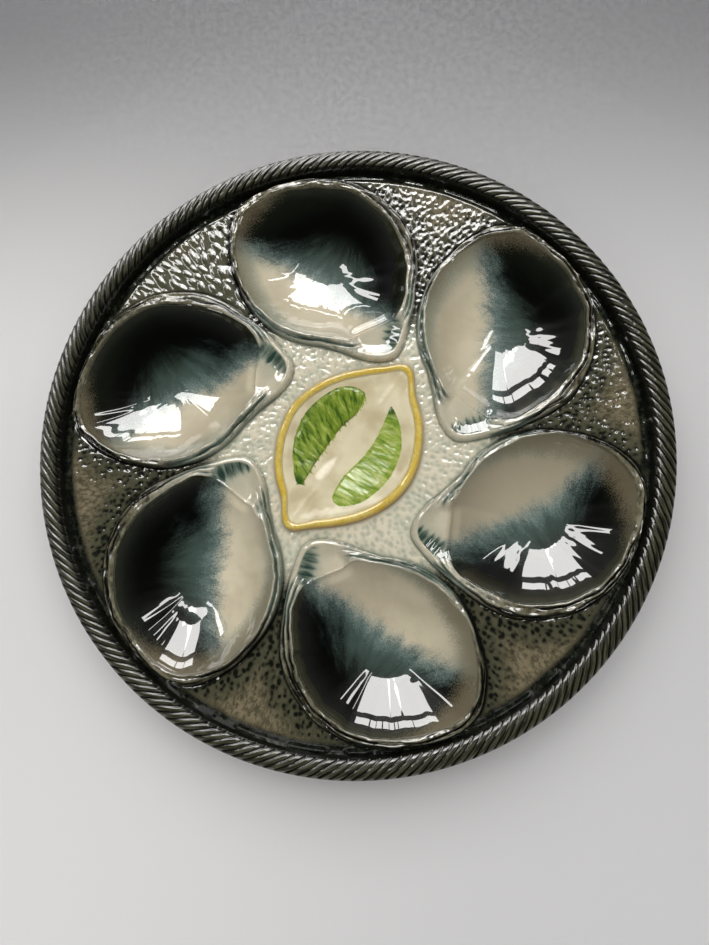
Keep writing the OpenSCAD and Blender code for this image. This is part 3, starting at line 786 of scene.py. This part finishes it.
def paintGround(w):
    c = colours(groundPaint)
    place, pit = w.place(), w.value("pit")
    spray = sprayer(w, w.vector("grain"), place)
    fibres = w.noise(w.vector("grain"), 1.0, 4.0, 0.75)
    taupe = w.mix(w.ramp(fibres, 0.40, 0.60), c["taupeDark"], c["taupe"])
    nearEdge, middle = spray("edgeField", 9.0, 3.0, 0.6), spray("middleField", 14.0, 4.0, 0.5)
    uneven = w.times(w.minus(w.noise(place, 700.0, 3.0, 0.6), 0.5), 0.35)
    blotch = w.ramp(w.plus(pit, uneven), 0.12, 0.72)
    outside = useGroup(w, pooledGlaze, Colour=w.mix(w.times(nearEdge, 0.8), taupe, c["green"]), Pool=c["pit"],
                       Thin=c["taupe"], Depth=w.times(blotch, w.plus(0.85, w.times(nearEdge, 0.15))),
                       Crest=0.0, Strength=1.0)
    patch = w.ramp(w.noise(place, 130.0, 3.0, 0.6), 0.42, 0.62)
    pale = useGroup(w, pooledGlaze, Colour=w.mix(w.times(patch, 0.45), c["cream"], c["paleGreen"]),
                    Pool=c["creamPit"], Thin=c["cream"], Depth=w.times(blotch, 0.5), Crest=0.0,
                    Strength=1.0)
    colour = w.mix(middle, outside, pale)
    colour = w.mix(w.value("seam"), colour, w.mix(w.ramp(middle, 0.1, 0.7), c["pool"], c["creamSeam"]))
    channel = w.mix(w.ramp(w.noise(place, 420.0, 3.0, 0.6), 0.45, 0.62), c["channel"], c["channelPale"])
    return overUnderside(w, c, w.mix(spray("channelField", 3.2, 1.6, 0.7), colour, channel))


groundGlaze = glazed("groundGlaze", paintGround, 1.0)

half = int(math.ceil(groundSize["span"] / groundSize["spacing"]))
axis = np.arange(-half, half + 1) * groundSize["spacing"]
gx, gy = [grid.ravel() for grid in np.meshgrid(axis, axis)]
side = len(axis)
snapX, snapY = gx.copy(), gy.copy()
gap, shellTurn = np.full(len(gx), 1e9), np.zeros(len(gx))


def snapTo(hit, centreX, centreY, reach):
    # grid points past a cut move onto its outline
    for snapped, grid, centre in ((snapX, gx, centreX), (snapY, gy, centreY)):
        share = np.maximum(np.hypot(gx - centreX, gy - centreY)[hit], 1e-6)
        snapped[hit] = centre + (grid - centre)[hit] / share * reach[hit]


for index in range(plateSize["shells"]):
    cx, cy = turned(wellX, wellY, shellStep * index)
    angle = (np.degrees(np.arctan2(gy - cy, gx - cx)) - shellStep * index) % 360
    reach = edgeReach(angle) - groundSize["shellSeat"]
    away = np.hypot(gx - cx, gy - cy) - reach
    snapTo(away < 0, cx, cy, reach)
    shellTurn = np.where(away < gap, angle, shellTurn)
    gap = np.minimum(gap, away)
reach = lemonReach(np.degrees(np.arctan2(gy - lemonY, gx - lemonX))) - groundSize["lemonSeat"]
lemonGap = np.hypot(gx - lemonX, gy - lemonY) - reach
snapTo(lemonGap < 0, lemonX, lemonY, reach)
fromAxis = np.hypot(gx, gy)
band = plateSize["bandInner"] + groundSize["ropeSeat"]
snapTo(fromAxis > band, 0, 0, np.full(len(gx), band))
valid = (gap >= 0) & (lemonGap >= 0) & (fromAxis <= band)
cells = (np.arange(side - 1)[:, None] * side + np.arange(side - 1)[None, :]).ravel()
quads = np.stack([cells, cells + 1, cells + side + 1, cells + side], 1)
quads = quads[valid[quads].any(1)]
used = np.unique(quads)
order = np.full(len(gx), -1)
order[used] = np.arange(len(used))
quads = order[quads]
gx, gy, gap, lemonGap = snapX[used], snapY[used], np.maximum(gap[used], 0), np.maximum(lemonGap[used], 0)
shellTurn = shellTurn[used]
fromAxis = np.hypot(gx, gy)

# grid points sorted into cells, so that a mark finds those near it
rng = np.random.default_rng(11)
cell, cellRow, cellShift = groundSize["cell"], 400, 100
keys = (np.floor(gx / cell).astype(int) + cellShift) * cellRow + np.floor(gy / cell).astype(int) + cellShift
sortOrder = np.argsort(keys, kind="stable")
sortedKeys = keys[sortOrder]


def stamp(target, px, py, lean, longSide, wideSide, strength, power):
    # press one elongated mark into the field around a point
    ix, iy = int(math.floor(px / cell)) + cellShift, int(math.floor(py / cell)) + cellShift
    for column in (ix - 1, ix, ix + 1):
        start, stop = np.searchsorted(sortedKeys, [column * cellRow + iy - 1, column * cellRow + iy + 2])
        near = sortOrder[start:stop]
        ex, ey = gx[near] - px, gy[near] - py
        u = (ex * math.cos(lean) + ey * math.sin(lean)) / longSide
        v = (-ex * math.sin(lean) + ey * math.cos(lean)) / wideSide
        target[near] = np.maximum(target[near], strength * np.exp(-(u * u + v * v) ** power))


def upperLeft(degrees, ring):
    return float(hill(((degrees - 140 + 180) % 360 - 180) / 26, 1) * smoothStep((ring - 66) / 10))


def scatter(mark, inZone):
    # a field of marks, kept inside or outside the upper left
    field = np.zeros(len(gx))
    for ring in np.arange(*mark["rings"]):
        number = int(2 * math.pi * ring / mark["step"])
        for k in range(number):
            shifted = k + rng.uniform(-mark["shift"], mark["shift"])
            angle = 2 * math.pi * shifted / number + ring * mark["twist"]
            out = ring + rng.uniform(-mark["spread"], mark["spread"])
            px, py = out * math.cos(angle), out * math.sin(angle)
            lean, share = angle + math.radians(rng.normal(*mark["lean"])), rng.uniform(*mark["share"], 2)
            strength = rng.uniform(*mark["strength"]) * min(share[1] + mark["full"], 1)
            if (upperLeft(math.degrees(angle), ring) > rng.uniform(*mark["zone"])) == inZone:
                stamp(field, px, py, lean, mark["long"] * share[0], mark["wide"] * share[1], strength,
                      mark["power"])
    return field


pit = scatter(pitMark, False)
raised = scatter(grainMark, True)
inField = smoothStep(gap / 1.2) * smoothStep(lemonGap / 2.0)
inField = inField * smoothStep((groundSize["fieldEdge"] - fromAxis) / 2.0)
nearShell = np.maximum(hill(np.maximum(gap - 1, 0), 10), smoothStep((104 - fromAxis) / 14))
calm = (1 - 0.15 * smoothStep((56 - fromAxis) / 12)) * (0.35 + 0.65 * nearShell)
pit, raised = pit * inField * calm, raised * inField
turnAngle = np.degrees(np.arctan2(gy, gx))
grainZone = hill((turnAngle - 140) / 34, 1) * smoothStep((fromAxis - 66) / 10)
shallow = 0.42 + 0.58 * np.maximum(smoothStep((gy - 14) / 40), 0.75 * smoothStep((58 - fromAxis) / 10))
gz = np.interp(fromAxis, groundSize["at"], groundSize["level"])
gz = gz - groundSize["pitDepth"] * shallow * pit + groundSize["grainHeight"] * raised
gz = gz + groundSize["waves"] * softNoise(gx / 3.6, gy / 3.6, 13) * inField * (1 - 0.8 * grainZone)
knobs = roundNoise(turnAngle, 150, 14) + 0.25 * roundNoise(turnAngle, 320, 15)
gz = gz + groundSize["knob"] * knobs * hill(fromAxis - 113.6, 1.7) * smoothStep(gap / 0.8)
dashes = smoothStep((roundNoise(turnAngle, 90, 17) + 0.4 * roundNoise(turnAngle, 30, 18) + 0.35) / 0.5)
bead = groundSize["bead"] * (0.15 + 0.85 * dashes) + 0.3 * knobs
gz = gz + bead * hill(fromAxis - groundSize["beadAt"], 1.1) * smoothStep(gap / 0.8)
gz = gz - groundSize["seam"] * hill(gap, 0.8) - 0.35 * hill(lemonGap, 1.0)
outerPart, shadeSide = smoothStep((fromAxis - 50) / 16), window(shellTurn, 105, 225, 30)
seam = hill(gap, 0.7 + 1.0 * shadeSide) * np.maximum(outerPart, 0.6 * shadeSide) + hill(gap - 0.2, 0.8) * 0.8
circle = np.radians(turnAngle)
topFields = {"pit": pit, "seam": np.maximum(np.clip(seam, 0, 1), 0.45 * hill(lemonGap, 1.1)),
             "edgeField": 7.0 - gap + 3.0 * np.sin(np.radians(turnAngle * 6 + 20)) + 9.0 * grainZone,
             "middleField": 57 - fromAxis, "channelField": fromAxis - 112.5 + 0.7 * knobs,
             "grain": np.stack([np.cos(circle) * 70, np.sin(circle) * 70, fromAxis * 0.35], 1)}

# close the slab: underside and walls along every cut
total = len(gx)
edges = np.concatenate([quads[:, [0, 1]], quads[:, [1, 2]], quads[:, [2, 3]], quads[:, [3, 0]]])
keysForward = edges[:, 0].astype(np.int64) * total + edges[:, 1]
keysBack = edges[:, 1].astype(np.int64) * total + edges[:, 0]
border = edges[~np.isin(keysForward, keysBack)]
walls = np.stack([border[:, 0], border[:, 0] + total, border[:, 1] + total, border[:, 1]], 1)
allFaces = np.concatenate([quads, quads[:, ::-1] + total, walls])
underZ = np.interp(fromAxis, groundSize["underAt"], groundSize["underLevel"])
fields = {name: np.concatenate([field, field]) for name, field in topFields.items()}
fields["below"] = np.repeat([0.0, 1.0], total)
points = np.concatenate([np.stack([gx, gy, z], 1) for z in (gz, underZ)])
makePiece("stippledGround", points, allFaces, fields, groundGlaze, "stippled_ground")
print("ground made")

# Rope rim: strands laid across a rounded band
ropeSize = {"strands": 188, "columns": 16, "groove": 0.85, "lay": 2.9, "tip": 0.30, "vary": 0.10, "rows": 64}
ropePaint = {"strand": (34, 37, 26), "strandPale": (82, 82, 62), "groove": (4, 5, 3), "strandHighlight": (96, 94, 74),
             "edge": (28, 29, 21), "below": (110, 100, 78), "belowSpeck": (40, 44, 34)}
ropeArc = {"centre": 121.0, "level": 24.4, "radius": 4.0, "rise": 2.6}
bandInner, rimRadius = plateSize["bandInner"], plateSize["rimRadius"]
# radius and height, from the foot inside to the foot outside
ropeSection = [(bandInner, 17.6), (bandInner, 20.0)]
for a in np.radians(np.linspace(-90, 90, 25)):
    ropeSection.append((ropeArc["centre"] + ropeArc["radius"] * math.sin(a),
                        ropeArc["level"] + ropeArc["rise"] * math.cos(a)))
firstKnot, lastKnot = 2, len(ropeSection) - 1  # the ends of the arc
ropeSection += [(124.8, 22.8), (124.1, 20.4), (122.5, 18.4), (120.4, 17.6)]


def paintRope(w):
    c = colours(ropePaint)
    streak = w.noise(w.vector("strandBrush"), 1.0, 2.0, 0.6)
    body = w.mix(w.ramp(streak, 0.40, 0.64), c["strand"], c["strandPale"])
    # strand tops take a painted highlight colour
    body = useGroup(w, pooledGlaze, Colour=body, Pool=c["groove"], Thin=c["strandHighlight"], Depth=w.value("groove"),
                    Crest=w.times(w.value("crest"), w.ramp(streak, 0.4, 0.75)), Strength=1.0)
    return overUnderside(w, c, w.mix(w.value("outside"), body, c["edge"]))


ropeGlaze = glazed("ropeGlaze", paintRope, 0.8, 0.6, 0.08)
rows = ropeSize["rows"]
knots = np.array(ropeSection + [ropeSection[0]])
lengths = np.concatenate([[0], np.cumsum(np.hypot(*np.diff(knots, axis=0).T))])
fromStart = np.arange(rows) * lengths[-1] / rows
sectionR, sectionZ = np.interp(fromStart, lengths, knots[:, 0]), np.interp(fromStart, lengths, knots[:, 1])
for _ in range(2):
    sectionR = (np.roll(sectionR, 1) + 2 * sectionR + np.roll(sectionR, -1)) / 4
    sectionZ = (np.roll(sectionZ, 1) + 2 * sectionZ + np.roll(sectionZ, -1)) / 4
sectionR += (rimRadius - sectionR.max()) * smoothStep((sectionR - ropeArc["centre"]) / 4)
sectionZ += (plateSize["top"] - sectionZ.max()) * smoothStep((sectionZ - 23) / 4)
tangent = np.stack([np.roll(along, -1) - np.roll(along, 1) for along in (sectionR, sectionZ)])
tangent /= np.hypot(*tangent)
normalR, normalZ = -tangent[1], tangent[0]
across = np.clip((sectionR - bandInner) / (rimRadius - bandInner), 0, 1)
across += 0.10 * smoothStep((22.6 - sectionZ) / 3) * np.where(sectionR > ropeArc["centre"], 1, -1)
arcStart, arcEnd = lengths[firstKnot], lengths[lastKnot]
weight = smoothStep((fromStart - arcStart + 0.6) / 1.6) * smoothStep((arcEnd + 0.1 - fromStart) / 1.6)
strands = ropeSize["strands"]
number = strands * ropeSize["columns"]
column = np.arange(number) / ropeSize["columns"]
turnAngle = column * 360 / strands
strandHeight = np.random.default_rng(5).uniform(0, 1, strands)
strandDepth = np.random.default_rng(6).uniform(0.75, 1.15, strands)
sway = 0.10 * roundNoise(turnAngle, 190, 16)
ropeRows = []  # radius, height, groove, crest, below, outside, brush coordinates
for k in range(rows):
    # the strand under each column, leaning as it crosses the band
    phase = column + ropeSize["lay"] * (across[k] - 1) + sway * math.sin(across[k] * 3)
    strand = np.floor(phase).astype(int) % strands
    part = phase - np.floor(phase)
    fromSeam = 0.5 - np.abs(part - 0.5)
    ridge = smoothStep((fromSeam - 0.02) / 0.17)
    drop = ropeSize["groove"] * strandDepth[strand] * (1 - ridge)
    drop = drop + ropeSize["vary"] * strandHeight[strand] * ridge
    drop = drop + (ropeSize["tip"] * part + 0.02 * np.sin(part * 19 + strand * 2.4)) * ridge
    # painted shade: the rope's inner flank, down to the channel, takes the groove colour
    innerFlankShade = smoothStep((118.7 - sectionR[k]) / 1.2) if sectionZ[k] > 18.5 else 0.0
    # painted highlight on the tops of the strands, only high on the rope
    crest = smoothStep((ridge - 0.85) / 0.15) * weight[k] * smoothStep((sectionZ[k] - 25.2) / 1.2) * 0.6
    ropeRows.append((sectionR[k] - normalR[k] * drop * weight[k], sectionZ[k] - normalZ[k] * drop * weight[k],
                     np.maximum(smoothStep((0.21 - fromSeam) / 0.10) * weight[k], 0.85 * innerFlankShade),
                     crest, float(sectionZ[k] < 18.8 and sectionR[k] > bandInner + 0.3),
                     smoothStep(fromStart[k] - arcEnd + 0.2), strand * 3.7, part * 5.5, across[k] * 2.2))
radius, height, groove, crest, below, outside, *strandBrush = gather(ropeRows, number)
angle = np.tile(np.radians(turnAngle), rows)
makePiece("ropeRim", np.stack([radius * np.cos(angle), radius * np.sin(angle), height], 1),
          ringQuads(rows, number, True)[:, ::-1],
          {"groove": np.clip(groove, 0, 1), "crest": crest, "below": below, "outside": outside,
           "strandBrush": np.stack(strandBrush, 1)}, ropeGlaze, "rope_rim")
print("rope made")

# Foot ring: turned band under thin glaze, wiped off where it stands
footSize = {"radius": 70.0, "segments": 576, "sunk": 0.35, "section": [
    (-3.25, 14.5), (-2.75, 8.0), (-2.3, 2.0), (-2.1, 0.9), (-1.75, 0.3), (-1.2, 0.03), (-0.6, 0.0),
    (0.6, 0.0), (1.2, 0.03), (1.75, 0.3), (2.1, 0.9), (2.3, 2.0), (2.75, 8.0), (3.25, 14.5),
    (1.1, 14.5), (-1.1, 14.5)]}
footPaint = {"glaze": (150, 138, 112), "speck": (66, 76, 66), "clay": (196, 176, 142)}


def paintFoot(w):
    c = colours(footPaint)
    glazeColour = useGroup(w, sprayed, Vector=w.place(), Scale=700.0, Amount=0.5, Colour=c["glaze"],
                           Speck=c["speck"])
    height = w.node("ShaderNodeSeparateXYZ", {0: w.place()}).outputs[2]
    rubbed = w.plus(height, w.times(w.minus(w.noise(w.place(), 300.0), 0.5), 0.0012))  # metres
    return w.mix(w.ramp(rubbed, 0.0006, 0.0012), c["clay"], glazeColour)


footGlaze = glazed("footGlaze", paintFoot, 1.5)
segments = footSize["segments"]
angle = np.arange(segments) * 2 * math.pi / segments
points = []
for outward, z in footSize["section"]:
    x, y = (footSize["radius"] + outward) * np.cos(angle), (footSize["radius"] + outward) * np.sin(angle)
    height = np.full(segments, z)
    for index in range(plateSize["shells"]):  # the band stops at the bellies of the wells
        px, py = turned(x, y, -shellStep * index)
        share = np.hypot(px - wellX, py - wellY) / edgeReach(np.degrees(np.arctan2(py - wellY, px - wellX)))
        height = np.where(share < 1, np.minimum(height, bellyHeight(share) + footSize["sunk"]), height)
    points.append(np.stack([x, y, height], 1))
makePiece("footRing", np.concatenate(points), ringQuads(len(points), segments, True), {}, footGlaze,
          "foot_ring")
print("foot made")

# Floor: pale and plain, with painted light and shade: lightest at the front, darker towards the right and a
# little darker towards the far side
floorSize = {"half": 3.0, "fadeStart": 0.03, "fadeEnd": 0.23}
floorPaint = {"near": (230, 230, 231), "right": (212, 212, 214), "front": (245, 245, 246),
              "frontRight": (226, 226, 228), "far": (104, 104, 108)}
floorMesh = bpy.data.meshes.new("floor")
half = floorSize["half"]
corners = [(-half, -half, 0), (half, -half, 0), (half, half, 0), (-half, half, 0)]
floorMesh.from_pydata(corners, [], [(0, 1, 2, 3)])
floor = bpy.data.objects.new("floor", floorMesh)
bpy.context.collection.objects.link(floor)
floorMaterial = bpy.data.materials.new("floorPaper")
floorMaterial.use_nodes = True
floorMaterial.node_tree.nodes.clear()
w = Wiring(floorMaterial.node_tree)
spot = w.node("ShaderNodeSeparateXYZ", {0: w.place()}).outputs
inward = w.ramp(spot[1], -0.20, 0.0)
c = colours(floorPaint)
nearColour = w.mix(w.ramp(spot[0], -0.16, 0.08), w.mix(inward, c["front"], c["near"]),
                   w.mix(inward, c["frontRight"], c["right"]))
shade = w.mix(w.ramp(spot[1], floorSize["fadeStart"], floorSize["fadeEnd"]), nearColour, c["far"])
paper = w.node("ShaderNodeBsdfPrincipled")
w.put(paper.inputs["Base Color"], shade)
w.put(paper.inputs["Roughness"], w.ramp(w.noise(w.place(), 400.0), 0.3, 0.7, 0.62, 0.74))
w.put(w.node("ShaderNodeOutputMaterial").inputs[0], paper.outputs[0])
floorMesh.materials.append(floorMaterial)

# Light: panes of one window seen in the gloss, and two broad soft lamps for the matt light
lightSize = {"distance": 1.3, "radiance": 8.0, "colour": (1.0, 0.985, 0.965),
             "panes": [(-15, 40.5, 23, 35), (11, 40.5, 23, 35), (-19, 12, 14, 9), (-3, 12, 14, 9),
                       (13, 12, 14, 9), (-50, 42, 5, 44), (41, 44, 2.5, 44)],
             "horizon": (0.075, 0.077, 0.082), "zenith": (0.014, 0.014, 0.015),
             "window": 11.628, "room": 20.58}


def standing(axes, place):
    # matrix of an object from its own three axes and its place
    rows = [[float(side[k]) for side in axes] + [float(place[k])] for k in range(3)]
    return Matrix(rows + [[0, 0, 0, 1]])


def addLamp(name, azimuth, elevation, wide, high, energy):
    # azimuth from the far side towards +X, elevation over the floor, both in degrees; sizes in metres
    a, e = math.radians(azimuth), math.radians(elevation)
    back = np.array([math.sin(a) * math.cos(e), math.cos(a) * math.cos(e), math.sin(e)])
    right = np.cross((0, 0, 1), back)
    right /= np.linalg.norm(right)
    data = bpy.data.lights.new(name, "AREA")
    data.shape, data.size, data.size_y, data.energy = "RECTANGLE", wide, high, energy
    data.color = lightSize["colour"]
    lamp = bpy.data.objects.new(name, data)
    lamp.matrix_world = standing((right, np.cross(back, right), back), back * lightSize["distance"])
    bpy.context.collection.objects.link(lamp)
    return lamp


for azimuth, elevation, wide, high in lightSize["panes"]:
    wide, high = [2 * lightSize["distance"] * math.tan(math.radians(v / 2)) for v in (wide, high)]
    energy = lightSize["radiance"] * math.pi * wide * high
    addLamp("windowPane", azimuth, elevation, wide, high, energy).visible_diffuse = False
addLamp("windowSoft", -2, 55, 1.6, 1.2, lightSize["window"]).visible_glossy = False
addLamp("roomSoft", 180, 72, 3.2, 3.2, lightSize["room"]).visible_glossy = False

world = bpy.data.worlds.new("room")
bpy.context.scene.world = world
world.use_nodes = True
world.node_tree.nodes.clear()
w = Wiring(world.node_tree)
lift = w.node("ShaderNodeSeparateXYZ", {0: w.node("ShaderNodeTexCoord").outputs["Generated"]}).outputs[2]
room = w.mix(w.ramp(lift, 0.0, 0.55), (*lightSize["horizon"], 1.0), (*lightSize["zenith"], 1.0))
sky = w.node("ShaderNodeBackground", {"Strength": 1.0})
w.put(sky.inputs["Color"], room)
w.put(w.node("ShaderNodeOutputWorld").inputs[0], sky.outputs[0])

# Camera at the photograph's place
cameraSize = {"imageHeight": 945, "focalPixels": 710.0, "sensor": 36.0, "tiltX": -7.6, "tiltY": -3.2,
              "place": (0.0169, -0.0466, 0.2991)}
tiltX, tiltY = math.radians(cameraSize["tiltX"]), math.radians(cameraSize["tiltY"])
turnX = np.array([[1, 0, 0], [0, math.cos(tiltX), -math.sin(tiltX)], [0, math.sin(tiltX), math.cos(tiltX)]])
turnY = np.array([[math.cos(tiltY), 0, math.sin(tiltY)], [0, 1, 0], [-math.sin(tiltY), 0, math.cos(tiltY)]])
cameraData = bpy.data.cameras.new("camera")
cameraData.sensor_fit = "AUTO"
cameraData.sensor_width = cameraSize["sensor"]
cameraData.lens = cameraSize["focalPixels"] / cameraSize["imageHeight"] * cameraSize["sensor"]
cameraData.clip_start = 0.01
camera = bpy.data.objects.new("camera", cameraData)
bpy.context.collection.objects.link(camera)
camera.matrix_world = standing(turnX @ turnY, cameraSize["place"])
bpy.context.scene.camera = camera
bpy.context.scene.view_settings.view_transform = "Standard"
print("stage made")

bpy.context.view_layer.update()
